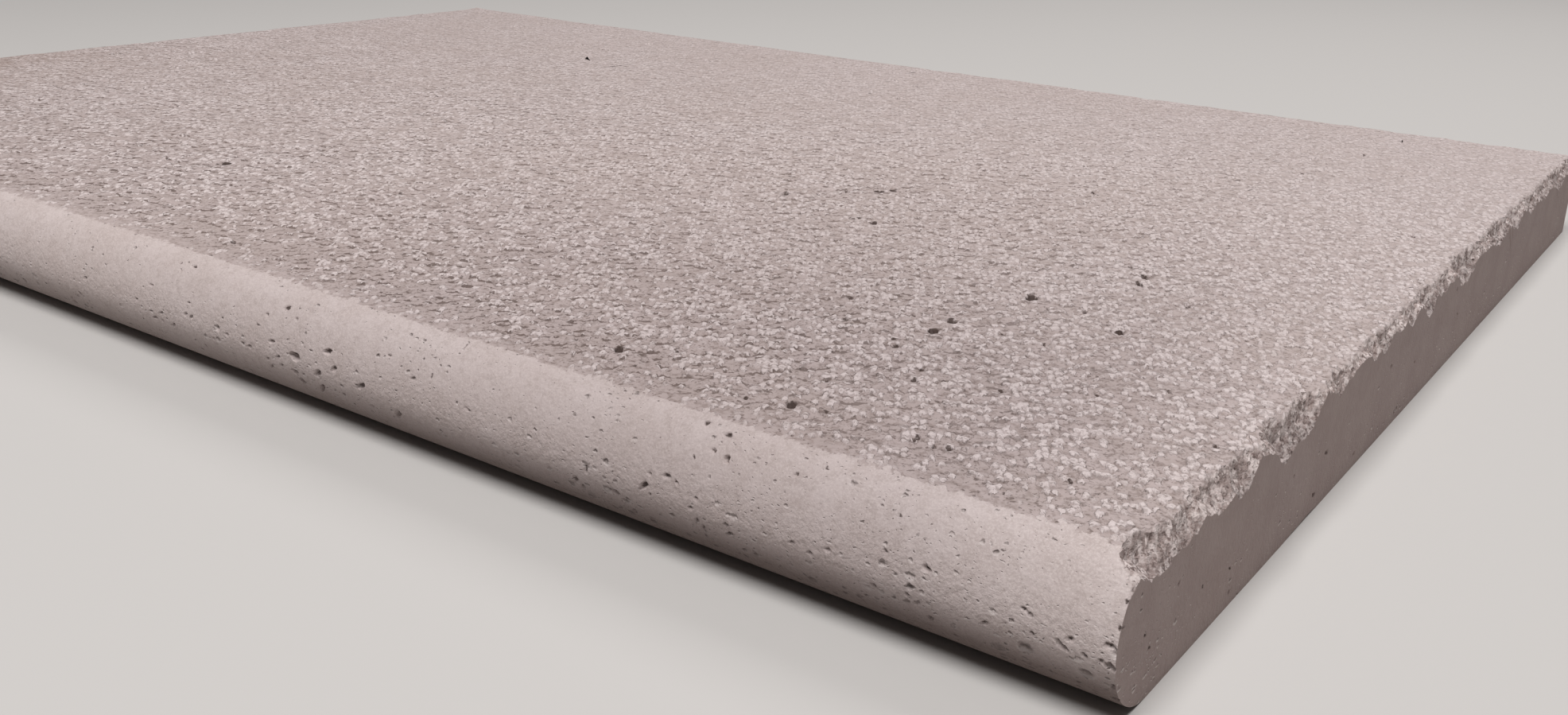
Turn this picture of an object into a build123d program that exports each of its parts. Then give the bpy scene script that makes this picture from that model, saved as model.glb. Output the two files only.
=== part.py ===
from build123d import *
from math import cos, pi, sin
import os

# Travertine bullnose coping: one solid length of stone.
# Millimetres, +Z up, +X along the bullnose, the bullnose faces -Y.
# The origin is the centre of the underside.

# driving dimensions
LENGTH = 610.0       # along the bullnose
DEPTH = 406.0        # tip of the nose to the back face
THICK = 30.0         # slab thickness
NOSE_R = THICK / 2   # full half-round nose

X_END = LENGTH / 2
Y_FRONT = -DEPTH / 2
Y_BACK = DEPTH / 2
Y_NOSE = Y_FRONT + NOSE_R   # axis of the nose, level with mid thickness

# Broken top edge of the +X end, from the nose to the back face:
# (y, depth below the top on the end face, inset on the top,
#  how far the broken face is hollowed, 0 to 1: a steep wall over a ledge)
CHIPS = [
    (-206.0, 7.0, 4.4, 0.53), (-200.0, 5.8, 4.7, 0.46), (-196.0, 4.2, 5.0, 0.65),
    (-193.3, 5.1, 5.3, 0.68), (-191.0, 6.7, 5.5, 0.63), (-188.0, 7.0, 5.1, 0.77),
    (-185.0, 6.6, 4.2, 0.62), (-181.4, 5.8, 3.4, 0.34), (-178.0, 5.7, 2.1, 0.72),
    (-174.5, 5.9, 2.6, 0.53), (-171.4, 5.6, 3.3, 0.77), (-169.0, 4.1, 3.8, 0.35),
    (-166.0, 4.5, 4.8, 0.60), (-163.3, 5.9, 3.5, 0.51), (-160.0, 6.3, 3.7, 0.80),
    (-156.4, 5.6, 3.8, 0.55), (-153.3, 4.8, 2.9, 0.43), (-151.2, 6.8, 3.0, 0.64),
    (-149.0, 7.8, 3.2, 0.65), (-146.4, 7.0, 3.2, 0.50), (-143.3, 4.6, 2.8, 0.38),
    (-140.0, 2.8, 1.1, 0.53), (-138.2, 2.3, 1.7, 0.38), (-135.0, 3.4, 3.1, 0.51),
    (-132.0, 4.4, 4.1, 0.70), (-129.5, 5.5, 4.8, 0.52), (-127.3, 7.9, 4.8, 0.79),
    (-125.0, 9.5, 4.0, 0.69), (-121.8, 8.8, 2.7, 0.81), (-117.8, 7.6, 2.8, 0.48),
    (-114.0, 7.5, 3.5, 0.75), (-110.5, 7.6, 3.8, 0.59), (-106.8, 6.6, 3.7, 0.73),
    (-104.1, 4.3, 2.8, 0.36), (-101.4, 2.9, 2.1, 0.49), (-98.6, 2.1, 1.5, 0.42),
    (-95.9, 3.4, 1.8, 0.57), (-92.3, 5.0, 2.5, 0.73), (-89.1, 6.6, 2.8, 0.57),
    (-86.8, 5.0, 2.1, 0.39), (-83.2, 3.6, 1.7, 0.38), (-78.6, 2.9, 1.4, 0.53),
    (-75.0, 2.6, 1.6, 0.30), (-70.5, 2.8, 2.4, 0.61), (-68.0, 3.6, 2.8, 0.50),
    (-65.5, 4.6, 2.8, 0.65), (-61.8, 5.2, 2.6, 0.42), (-58.2, 4.0, 1.9, 0.42),
    (-56.4, 5.1, 2.0, 0.63), (-53.8, 6.1, 2.2, 0.64), (-50.5, 4.2, 1.8, 0.39),
    (-47.3, 2.6, 1.6, 0.39), (-42.7, 4.2, 2.1, 0.68), (-39.1, 4.4, 2.3, 0.47),
    (-35.9, 2.8, 2.2, 0.40), (-33.2, 4.9, 2.4, 0.64), (-30.0, 5.5, 2.6, 0.51),
    (-25.5, 3.5, 2.0, 0.33), (-20.9, 2.9, 2.5, 0.60), (-17.3, 4.0, 3.0, 0.65),
    (-15.5, 6.4, 3.3, 0.57), (-12.0, 8.0, 3.2, 0.82), (-9.1, 7.2, 2.8, 0.55),
    (-6.4, 4.4, 2.3, 0.33), (-0.9, 4.6, 2.2, 0.54), (3.6, 5.3, 2.2, 0.71),
    (6.4, 4.0, 2.0, 0.29), (10.9, 4.4, 2.5, 0.55), (14.5, 3.1, 2.6, 0.50),
    (19.0, 4.6, 3.1, 0.68), (22.7, 7.6, 4.0, 0.66), (26.4, 8.5, 4.2, 0.77),
    (31.8, 8.5, 3.9, 0.70), (36.4, 7.4, 3.1, 0.77), (40.9, 5.1, 2.4, 0.42),
    (47.3, 3.6, 2.1, 0.35), (52.7, 4.4, 2.6, 0.55), (60.0, 4.5, 2.8, 0.51),
    (67.3, 6.0, 3.0, 0.71), (72.7, 7.1, 3.3, 0.60), (77.3, 6.4, 2.8, 0.68),
    (82.7, 4.9, 2.2, 0.42), (87.3, 4.0, 1.9, 0.51), (90.9, 4.9, 2.3, 0.61),
    (96.4, 6.7, 3.0, 0.72), (100.9, 7.4, 2.9, 0.55), (102.9, 4.2, 2.3, 0.36),
    (107.3, 3.3, 1.9, 0.48), (112.7, 3.7, 2.2, 0.54), (118.2, 5.5, 2.8, 0.44),
    (122.7, 6.2, 2.8, 0.63), (126.4, 4.6, 2.2, 0.33), (132.7, 4.9, 2.3, 0.57),
    (137.3, 5.1, 2.6, 0.38), (141.8, 5.5, 2.7, 0.68), (146.4, 5.8, 2.5, 0.52),
    (150.9, 4.6, 2.2, 0.35), (156.4, 4.6, 2.3, 0.59), (160.9, 4.4, 2.5, 0.53),
    (165.5, 5.8, 2.9, 0.67), (170.9, 7.4, 3.4, 0.68), (175.5, 7.8, 3.2, 0.51),
    (179.1, 6.2, 2.6, 0.47), (184.0, 4.4, 2.1, 0.32), (189.0, 5.2, 2.6, 0.65),
    (194.0, 6.3, 3.0, 0.70), (199.0, 5.0, 2.5, 0.44), (207.0, 4.8, 2.3, 0.50),
]

# Larger natural pits, each a shallow spherical hollow.
# On the top: (x, y, width, depth)
TOP_PITS = [
    (226.4, -85.7, 3.1, 2.8), (-45.8, -130.4, 3.1, 2.8), (137.7, -16.3, 3.2, 2.7),
    (114.6, -40.1, 3.2, 2.7), (220.6, -122.7, 2.6, 2.3), (173.3, -177.1, 2.5, 2.3),
    (220.1, -113.7, 2.5, 2.3), (242.6, -57.1, 2.4, 2.1), (221.9, -178.8, 2.4, 2.1),
    (156.5, -52.2, 2.4, 2.1), (241.2, -50.4, 2.3, 2.0), (255.0, -95.9, 2.2, 1.9),
    (259.6, -66.2, 2.0, 1.7),
]
# On the nose: (x, angle above mid thickness in degrees, width, depth)
NOSE_PITS = [
    (92.5, 3.9, 2.6, 1.6), (101.1, -4.7, 2.2, 1.3), (101.1, -20.0, 2.2, 1.3),
    (104.6, 18.7, 2.4, 1.4), (204.1, 1.0, 2.2, 1.3), (117.1, -1.9, 2.0, 1.2),
    (129.0, -17.2, 2.2, 1.3), (295.4, -4.7, 2.0, 1.2), (85.2, 44.0, 2.0, 1.1),
    (184.8, -16.2, 1.8, 1.1), (61.2, 4.3, 1.8, 1.0),
]
# On the +X end: (y, z, width, depth)
END_PITS = [
    (-94.2, 12.4, 2.4, 1.5), (-99.8, 4.2, 2.8, 1.4), (-34.8, 2.6, 2.4, 1.6),
]


def facet(*points):
    """Flat triangular face."""
    return Face(Wire.make_polygon([Vector(*p) for p in points], close=True))


def broken_edge():
    """Closed body that lies over the broken top edge of the +X end."""
    rings = []
    for y, dz, dx, hollow in CHIPS:
        low = (X_END, THICK - dz)
        high = (X_END - dx, THICK)
        mid = (X_END - (0.60 + 0.24 * hollow) * dx, THICK - (0.44 + 0.20 * hollow) * dz)
        low_out = (low[0] + 0.6 * (low[0] - mid[0]), low[1] + 0.6 * (low[1] - mid[1]))
        high_out = (high[0] + 0.6 * (high[0] - mid[0]), high[1] + 0.6 * (high[1] - mid[1]))
        corner = (X_END + 12.0, THICK + 12.0)
        rings.append([(p[0], y, p[1]) for p in (low_out, mid, high_out, corner)])
    faces = []
    for a, b in zip(rings, rings[1:]):
        for k in range(4):
            n = (k + 1) % 4
            faces.append(facet(a[k], b[k], b[n]))
            faces.append(facet(a[k], b[n], a[n]))
    for ring in (rings[0], rings[-1]):
        faces.append(facet(ring[0], ring[1], ring[2]))
        faces.append(facet(ring[0], ring[2], ring[3]))
    return Solid(Shell(faces))


def hollow_at(x, y, z, nx, ny, nz, width, depth):
    """Sphere that leaves a hollow of this width and depth in a surface."""
    radius = (width * width / 4 + depth * depth) / (2 * depth)
    out = radius - depth
    side = (0, 1, 0) if nx else (1, 0, 0)
    seat = Plane(
        origin=(x + nx * out, y + ny * out, z + nz * out), x_dir=side, z_dir=(nx, ny, nz)
    )
    return seat * Sphere(radius)


# section: flat top and underside, square back, half-round nose
with BuildSketch(Plane.YZ) as section:
    with BuildLine():
        Polyline((Y_NOSE, 0), (Y_BACK, 0), (Y_BACK, THICK), (Y_NOSE, THICK))
        ThreePointArc((Y_NOSE, THICK), (Y_FRONT, THICK / 2), (Y_NOSE, 0))
    make_face()
coping = extrude(section.sketch, amount=LENGTH / 2, both=True)

coping = coping - broken_edge()

pits = []
for x, y, width, depth in TOP_PITS:
    pits.append(hollow_at(x, y, THICK, 0, 0, 1, width, depth))
for x, angle, width, depth in NOSE_PITS:
    a = angle * pi / 180
    pits.append(
        hollow_at(
            x, Y_NOSE - NOSE_R * cos(a), THICK / 2 + NOSE_R * sin(a),
            0, -cos(a), sin(a), width, depth,
        )
    )
for y, z, width, depth in END_PITS:
    pits.append(hollow_at(X_END, y, z, 1, 0, 0, width, depth))
for pit in pits:
    coping = coping - pit

solids = coping.solids()
coping = max(solids, key=lambda s: s.volume)

box = coping.bounding_box()
points, _ = coping.tessellate(0.05, 0.2)
assert max(p.X for p in points) < X_END + 0.01 and min(p.Y for p in points) > Y_FRONT - 0.01
print("solids", len(solids), "volume_cm3", round(coping.volume / 1000, 1))
print("size", [round(v, 3) for v in (box.size.X, box.size.Y, box.size.Z)])
print("from", [round(v, 3) for v in (box.min.X, box.min.Y, box.min.Z)])
print("valid", coping.is_valid)

os.makedirs("parts", exist_ok=True)
coping.label = "coping"
export_step(coping, "parts/coping.step")
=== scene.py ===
import math

import bpy
import numpy as np
from mathutils import Matrix, Vector
from mathutils.geometry import delaunay_2d_cdt


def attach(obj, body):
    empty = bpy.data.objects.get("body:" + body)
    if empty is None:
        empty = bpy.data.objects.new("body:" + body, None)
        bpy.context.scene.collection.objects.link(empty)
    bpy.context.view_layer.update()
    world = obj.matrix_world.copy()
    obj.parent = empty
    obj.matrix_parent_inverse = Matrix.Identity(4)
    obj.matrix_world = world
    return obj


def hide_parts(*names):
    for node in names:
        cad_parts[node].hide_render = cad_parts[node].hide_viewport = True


# Travertine bullnose coping: one slab with a hammered top, a honed round nose,
# sawn ends, back and underside, and a broken top edge along the +X end.
# Lengths in this file are in millimetres until the meshes are written.

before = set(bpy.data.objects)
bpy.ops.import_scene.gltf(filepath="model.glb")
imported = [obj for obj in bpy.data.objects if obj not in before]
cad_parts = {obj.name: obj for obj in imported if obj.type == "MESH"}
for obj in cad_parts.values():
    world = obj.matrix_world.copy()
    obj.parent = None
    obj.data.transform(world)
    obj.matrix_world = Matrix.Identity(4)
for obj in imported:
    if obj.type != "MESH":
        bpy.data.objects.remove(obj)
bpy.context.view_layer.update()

MM = 0.001
LENGTH, DEPTH, THICK = 610.0, 406.0, 30.0
R = THICK / 2
XE, YF, YB = LENGTH / 2, -DEPTH / 2, DEPTH / 2
YN = YF + R          # axis of the nose
TRIS = 196000

# broken top edge of the +X end: y, depth on the end face, inset on the top, and how
# far the broken face is hollowed, 0 to 1 (a steep wall below the rim, a ledge under it)
CHIPS = np.array([
    (-206.0, 7.0, 4.4, 0.53), (-200.0, 5.8, 4.7, 0.46), (-196.0, 4.2, 5.0, 0.65), (-193.3, 5.1, 5.3, 0.68),
    (-191.0, 6.7, 5.5, 0.63), (-188.0, 7.0, 5.1, 0.77), (-185.0, 6.6, 4.2, 0.62), (-181.4, 5.8, 3.4, 0.34),
    (-178.0, 5.7, 2.1, 0.72), (-174.5, 5.9, 2.6, 0.53), (-171.4, 5.6, 3.3, 0.77), (-169.0, 4.1, 3.8, 0.35),
    (-166.0, 4.5, 4.8, 0.60), (-163.3, 5.9, 3.5, 0.51), (-160.0, 6.3, 3.7, 0.80), (-156.4, 5.6, 3.8, 0.55),
    (-153.3, 4.8, 2.9, 0.43), (-151.2, 6.8, 3.0, 0.64), (-149.0, 7.8, 3.2, 0.65), (-146.4, 7.0, 3.2, 0.50),
    (-143.3, 4.6, 2.8, 0.38), (-140.0, 2.8, 1.1, 0.53), (-138.2, 2.3, 1.7, 0.38), (-135.0, 3.4, 3.1, 0.51),
    (-132.0, 4.4, 4.1, 0.70), (-129.5, 5.5, 4.8, 0.52), (-127.3, 7.9, 4.8, 0.79), (-125.0, 9.5, 4.0, 0.69),
    (-121.8, 8.8, 2.7, 0.81), (-117.8, 7.6, 2.8, 0.48), (-114.0, 7.5, 3.5, 0.75), (-110.5, 7.6, 3.8, 0.59),
    (-106.8, 6.6, 3.7, 0.73), (-104.1, 4.3, 2.8, 0.36), (-101.4, 2.9, 2.1, 0.49), (-98.6, 2.1, 1.5, 0.42),
    (-95.9, 3.4, 1.8, 0.57), (-92.3, 5.0, 2.5, 0.73), (-89.1, 6.6, 2.8, 0.57), (-86.8, 5.0, 2.1, 0.39),
    (-83.2, 3.6, 1.7, 0.38), (-78.6, 2.9, 1.4, 0.53), (-75.0, 2.6, 1.6, 0.30), (-70.5, 2.8, 2.4, 0.61),
    (-68.0, 3.6, 2.8, 0.50), (-65.5, 4.6, 2.8, 0.65), (-61.8, 5.2, 2.6, 0.42), (-58.2, 4.0, 1.9, 0.42),
    (-56.4, 5.1, 2.0, 0.63), (-53.8, 6.1, 2.2, 0.64), (-50.5, 4.2, 1.8, 0.39), (-47.3, 2.6, 1.6, 0.39),
    (-42.7, 4.2, 2.1, 0.68), (-39.1, 4.4, 2.3, 0.47), (-35.9, 2.8, 2.2, 0.40), (-33.2, 4.9, 2.4, 0.64),
    (-30.0, 5.5, 2.6, 0.51), (-25.5, 3.5, 2.0, 0.33), (-20.9, 2.9, 2.5, 0.60), (-17.3, 4.0, 3.0, 0.65),
    (-15.5, 6.4, 3.3, 0.57), (-12.0, 8.0, 3.2, 0.82), (-9.1, 7.2, 2.8, 0.55), (-6.4, 4.4, 2.3, 0.33),
    (-0.9, 4.6, 2.2, 0.54), (3.6, 5.3, 2.2, 0.71), (6.4, 4.0, 2.0, 0.29), (10.9, 4.4, 2.5, 0.55),
    (14.5, 3.1, 2.6, 0.50), (19.0, 4.6, 3.1, 0.68), (22.7, 7.6, 4.0, 0.66), (26.4, 8.5, 4.2, 0.77),
    (31.8, 8.5, 3.9, 0.70), (36.4, 7.4, 3.1, 0.77), (40.9, 5.1, 2.4, 0.42), (47.3, 3.6, 2.1, 0.35),
    (52.7, 4.4, 2.6, 0.55), (60.0, 4.5, 2.8, 0.51), (67.3, 6.0, 3.0, 0.71), (72.7, 7.1, 3.3, 0.60),
    (77.3, 6.4, 2.8, 0.68), (82.7, 4.9, 2.2, 0.42), (87.3, 4.0, 1.9, 0.51), (90.9, 4.9, 2.3, 0.61),
    (96.4, 6.7, 3.0, 0.72), (100.9, 7.4, 2.9, 0.55), (102.9, 4.2, 2.3, 0.36), (107.3, 3.3, 1.9, 0.48),
    (112.7, 3.7, 2.2, 0.54), (118.2, 5.5, 2.8, 0.44), (122.7, 6.2, 2.8, 0.63), (126.4, 4.6, 2.2, 0.33),
    (132.7, 4.9, 2.3, 0.57), (137.3, 5.1, 2.6, 0.38), (141.8, 5.5, 2.7, 0.68), (146.4, 5.8, 2.5, 0.52),
    (150.9, 4.6, 2.2, 0.35), (156.4, 4.6, 2.3, 0.59), (160.9, 4.4, 2.5, 0.53), (165.5, 5.8, 2.9, 0.67),
    (170.9, 7.4, 3.4, 0.68), (175.5, 7.8, 3.2, 0.51), (179.1, 6.2, 2.6, 0.47), (184.0, 4.4, 2.1, 0.32),
    (189.0, 5.2, 2.6, 0.65), (194.0, 6.3, 3.0, 0.70), (199.0, 5.0, 2.5, 0.44), (207.0, 4.8, 2.3, 0.50),
])

# natural pits seen in the stone: x, y, width, depth, stretch, turn in degrees, darkness of the shade painted in them
TOP_PITS = [
    (226.4, -85.7, 3.1, 2.8, 1.1, -72, 1.00), (-45.8, -130.4, 3.1, 2.8, 1.4, -8, 0.95), (136.3, -19.2, 2.6, 2.4, 1.9, 4, 0.90), (138.9, -14.9, 2.4, 2.0, 2.1, 14, 0.85),
    (137.0, -13.4, 1.8, 0.9, 1.8, -8, 0.50),
    (115.4, -41.2, 2.8, 2.2, 2.2, 90, 0.95), (220.6, -122.7, 2.6, 2.3, 1.1, -50, 1.00), (173.3, -177.1, 2.5, 2.3, 1.0, -64, 1.00),
    (220.1, -113.7, 2.5, 2.3, 1.0, -90, 1.00), (242.6, -57.1, 2.4, 2.1, 1.6, -70, 1.00), (221.9, -178.8, 2.4, 2.1, 1.1, -46, 0.95),
    (156.5, -52.2, 2.4, 2.1, 1.1, -58, 0.95), (241.2, -50.4, 2.3, 2.0, 1.2, -51, 0.95), (255.0, -95.9, 2.2, 1.9, 1.1, -84, 0.95),
    (259.6, -66.2, 2.0, 1.7, 1.0, -35, 0.85), (219.3, -136.7, 1.7, 1.5, 1.0, -82, 1.00), (233.5, -151.7, 1.7, 1.5, 1.0, -33, 0.95),
    (257.7, -177.3, 1.6, 1.4, 1.0, -79, 0.95), (200.1, -128.8, 1.6, 1.3, 1.7, -34, 0.85), (191.7, -114.7, 1.6, 1.3, 1.0, -23, 0.85),
    (149.9, -50.0, 1.6, 1.3, 1.0, -55, 0.85), (250.4, -176.5, 1.4, 1.2, 1.0, -41, 0.95), (297.3, -144.8, 1.3, 1.2, 1.0, -48, 1.00),
    (251.0, -145.4, 1.3, 1.2, 1.1, -56, 1.00), (231.6, -145.3, 1.5, 1.3, 1.0, -87, 0.85), (219.5, -163.4, 1.3, 1.1, 1.7, -85, 0.95),
    (234.1, -114.2, 1.3, 1.2, 1.2, -56, 0.95), (244.8, -114.0, 1.3, 1.1, 1.2, -36, 0.95), (241.8, -87.3, 1.6, 1.3, 1.0, -39, 0.75),
    (234.3, -44.4, 1.4, 1.1, 1.2, -82, 0.85), (216.3, -133.1, 1.2, 1.1, 1.1, -24, 0.95), (255.0, -178.4, 1.3, 1.1, 1.0, -50, 0.85),
    (279.0, -123.5, 1.3, 1.1, 1.1, -83, 0.85), (254.8, -81.1, 1.3, 1.1, 1.9, -38, 0.85), (161.3, -178.2, 1.3, 1.1, 1.4, -55, 0.85),
    (270.2, -100.1, 1.4, 1.1, 1.3, -35, 0.75), (250.6, -178.2, 1.1, 1.0, 1.0, -58, 0.95), (184.0, -170.0, 1.2, 1.0, 1.0, -50, 0.85),
    (233.8, -91.2, 1.2, 1.0, 1.5, -49, 0.85), (128.0, -25.6, 2.1, 1.4, 1.8, 80, 0.85), (212.5, -181.6, 1.0, 0.9, 1.2, -59, 0.95),
    (211.0, -116.0, 1.1, 0.9, 1.6, -62, 0.85), (215.8, -108.8, 1.1, 1.0, 1.0, -75, 0.85), (88.2, -178.4, 1.2, 1.0, 1.9, -24, 0.75),
    (201.3, -170.7, 1.2, 1.0, 1.0, -17, 0.75), (229.1, -176.8, 1.0, 0.8, 1.0, -28, 0.85), (62.3, -142.7, 1.3, 1.0, 1.4, -23, 0.65),
    (193.3, -124.8, 1.1, 0.9, 1.0, -49, 0.75), (135.7, -172.9, 1.1, 0.9, 1.4, -70, 0.75), (123.5, -35.0, 1.7, 1.2, 1.2, 60, 0.85),
    (57.6, -143.6, 1.2, 0.9, 1.9, -5, 0.65), (275.6, -188.2, 0.9, 0.7, 1.2, -88, 0.85), (282.4, -176.4, 0.8, 0.7, 1.0, -90, 0.95),
    (141.2, -90.0, 1.1, 0.9, 1.4, -47, 0.65), (148.6, -52.2, 2.4, 0.9, 2.6, 6, 0.65), (267.9, -135.0, 0.8, 0.7, 1.0, -87, 0.85),
    (-77.0, -158.8, 1.3, 1.0, 1.7, -25, 0.50), (240.1, -116.9, 1.0, 0.8, 1.0, -38, 0.65), (149.7, -34.6, 1.0, 0.8, 1.4, -49, 0.65),
    (190.3, -110.2, 1.3, 0.8, 1.4, 20, 0.60), (59.1, -148.4, 0.9, 0.7, 1.1, -28, 0.65), (229.7, -182.8, 0.9, 0.7, 1.1, -84, 0.65),
    (167.5, -185.5, 0.7, 0.6, 1.1, -19, 0.75), (139.8, -156.3, 0.8, 0.6, 1.0, -29, 0.65), (207.2, -106.8, 1.0, 0.7, 1.0, -89, 0.50),
    (192.5, -177.2, 0.7, 0.5, 1.0, -23, 0.65), (183.0, -182.4, 0.7, 0.5, 1.0, -66, 0.65), (256.5, -128.1, 0.6, 0.5, 1.0, -44, 0.75),
    (222.3, -54.8, 0.8, 0.6, 1.0, -36, 0.50), (225.5, -170.7, 0.6, 0.5, 1.0, -25, 0.65), (189.2, -166.4, 0.6, 0.5, 1.1, -73, 0.65),
    (160.4, -181.7, 0.6, 0.5, 1.0, -37, 0.65), (109.3, -168.6, 0.7, 0.5, 1.1, -13, 0.50),
]
# line of a fine crack on the top: x, y
CRACK = [(113.0, -43.0), (119.0, -34.5), (125.5, -24.0), (131.5, -20.5), (138.5, -15.5), (146.0, -11.0)]
TOOL = (-0.546, 0.838)   # direction of the tooling on the top
LONG = 1.42              # flakes and pits are this much longer along it than across
# on the nose: x, angle above mid thickness, width, depth, stretch, turn
NOSE_PITS = [
    (92.5, 3.9, 3.0, 2.2, 2.2, 4), (101.1, -4.7, 2.0, 1.5, 2.2, 30), (101.1, -20.0, 2.1, 1.6, 1.8, 48),
    (104.6, 18.7, 2.2, 1.6, 2.2, 23), (204.1, 1.0, 2.0, 1.5, 2.2, 35), (93.4, -20.5, 1.9, 1.3, 1.7, 0),
    (117.1, -1.9, 2.2, 1.4, 2.2, 29), (61.2, 4.3, 2.0, 1.1, 1.1, 6), (129.0, -17.2, 2.1, 1.5, 1.6, 67),
    (295.4, -4.7, 1.9, 1.3, 2.2, -26), (85.2, 44.0, 2.0, 1.0, 2.2, 41), (83.6, 10.1, 1.7, 1.0, 2.2, 20),
    (184.8, -16.2, 1.6, 1.1, 1.9, 54), (91.6, -12.4, 1.9, 0.9, 2.2, 7), (107.4, 5.3, 1.9, 1.0, 2.2, 19),
    (266.1, -2.8, 1.6, 1.0, 2.2, 7), (209.8, 14.8, 1.6, 1.0, 2.2, -1), (213.4, 63.5, 1.6, 1.0, 1.1, 78),
    (218.5, 44.0, 1.4, 1.0, 1.2, -9), (196.0, -14.3, 1.9, 0.9, 2.2, -24), (219.4, 59.2, 1.7, 1.1, 2.2, -8),
    (225.5, -13.8, 1.3, 0.9, 2.2, 20), (152.9, 12.0, 1.4, 0.9, 2.2, -17), (65.1, 1.5, 1.4, 0.8, 2.2, 7),
    (32.8, -9.0, 1.6, 0.8, 2.2, 22), (125.0, 33.0, 1.3, 0.8, 1.7, 0), (43.6, 54.5, 1.6, 0.8, 1.4, -6),
    (-0.1, 6.7, 1.6, 0.7, 1.9, 21), (41.0, -10.0, 1.6, 0.7, 1.9, 32), (134.5, 21.0, 1.4, 0.8, 2.0, 9),
    (85.8, -2.8, 1.4, 0.7, 2.2, 16), (47.4, 6.7, 1.4, 0.7, 2.2, 21), (248.5, 2.9, 1.3, 0.8, 1.7, -12),
    (217.5, -12.4, 1.2, 0.8, 2.2, 45), (269.9, -23.4, 1.2, 0.8, 1.3, 12), (31.1, 23.0, 1.4, 0.7, 2.2, 1),
    (79.5, 32.5, 1.3, 0.7, 1.8, -23), (265.4, -15.2, 1.2, 0.8, 2.0, 19), (296.8, 1.9, 1.4, 0.7, 2.2, 25),
    (49.9, 5.8, 1.4, 0.7, 2.2, 35), (212.4, 12.5, 1.2, 0.7, 1.5, -9), (188.4, -2.8, 1.6, 0.7, 2.2, 78),
    (267.5, -13.3, 1.2, 0.7, 1.8, 34), (36.0, -9.5, 1.3, 0.6, 2.2, 19), (48.2, 18.7, 1.3, 0.7, 1.8, 8),
    (205.6, 12.0, 1.2, 0.6, 2.2, 0), (36.2, -1.4, 1.4, 0.6, 2.2, 9), (74.2, -2.8, 1.6, 0.6, 2.2, 2),
    (224.8, -6.6, 1.3, 0.7, 2.2, -13), (237.8, 46.4, 1.4, 0.7, 2.2, 39), (86.6, -10.5, 1.3, 0.6, 2.2, 25),
    (39.5, 47.3, 1.3, 0.6, 2.2, -22), (258.4, -12.4, 1.2, 0.6, 2.2, -7), (139.9, 27.7, 1.4, 0.6, 2.0, 70),
    (244.6, -4.7, 1.4, 0.6, 2.2, -30), (81.4, -9.0, 1.2, 0.6, 2.2, 20), (90.4, 37.3, 1.3, 0.6, 2.2, -7),
    (199.9, -28.6, 1.2, 0.6, 1.8, 29), (144.2, 62.6, 1.3, 0.5, 2.2, 84), (77.4, 21.0, 1.3, 0.6, 2.2, -6),
    (280.9, -9.5, 1.3, 0.6, 2.2, 25), (31.2, -3.3, 1.3, 0.5, 2.2, 21), (265.5, -9.5, 1.2, 0.6, 1.3, -31),
    (216.1, -3.3, 1.2, 0.6, 1.8, 33), (24.9, 3.9, 1.3, 0.5, 2.2, 9), (186.4, -21.4, 1.4, 0.5, 2.2, 67),
    (302.4, -5.7, 1.2, 0.5, 2.2, 20), (82.0, -16.7, 1.3, 0.5, 2.2, 36), (218.8, -17.6, 1.4, 0.5, 1.4, 70),
    (40.2, 56.9, 1.2, 0.5, 1.8, -21), (58.8, -8.6, 1.3, 0.5, 2.2, 3), (240.5, -1.4, 1.2, 0.6, 2.2, 20),
    (198.0, -19.5, 1.2, 0.5, 2.0, -21), (288.0, 10.5, 1.1, 0.8, 1.6, 10), (289.2, 8.6, 1.2, 0.8, 1.4, -10),
    (290.0, -4.0, 1.0, 0.7, 1.8, -15), (299.5, -6.0, 1.1, 0.7, 1.8, -10), (269.0, 14.5, 1.6, 1.2, 1.5, -5),
    (260.5, 16.0, 1.1, 0.8, 1.5, -20), (261.0, 42.0, 1.0, 0.7, 1.8, -5), (303.6, 6.5, 1.6, 1.0, 1.8, 10),
    (304.0, -7.5, 1.9, 1.2, 1.6, -10), (304.4, -24.0, 1.1, 0.7, 1.4, 70), (304.3, -39.0, 1.3, 0.8, 1.4, 30),
    (304.7, 19.0, 0.9, 0.5, 1.8, 85), (304.6, 36.0, 0.8, 0.5, 1.8, 85),
]
# on the +X end: y, z, width, depth, stretch, turn
END_PITS = [
    (-94.2, 12.4, 1.7, 1.5, 1.5, -20), (-99.8, 4.2, 1.6, 1.2, 2.0, -30), (-34.8, 2.6, 1.4, 1.6, 2.0, -15),
    (-189.0, 10.0, 0.9, 0.7, 1.4, -30), (-150.0, 3.0, 1.2, 0.7, 1.6, 10), (-151.4, 8.7, 0.7, 0.7, 1.8, -25),
    (-69.8, 3.4, 1.4, 0.9, 1.6, -15), (-46.0, 18.2, 1.5, 0.8, 1.8, -10), (-191.4, 13.6, 0.8, 0.6, 2.2, -25),
    (18.8, 22.0, 1.4, 0.8, 1.6, -10), (25.0, 13.2, 1.3, 0.5, 2.0, -20), (-20.6, 12.0, 1.2, 0.5, 1.8, -10),
    (-117.0, 15.0, 0.8, 0.5, 1.4, 0), (-178.0, 17.4, 0.8, 0.5, 1.6, 20), (-165.6, 11.2, 0.7, 0.5, 1.4, -20),
]


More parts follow.
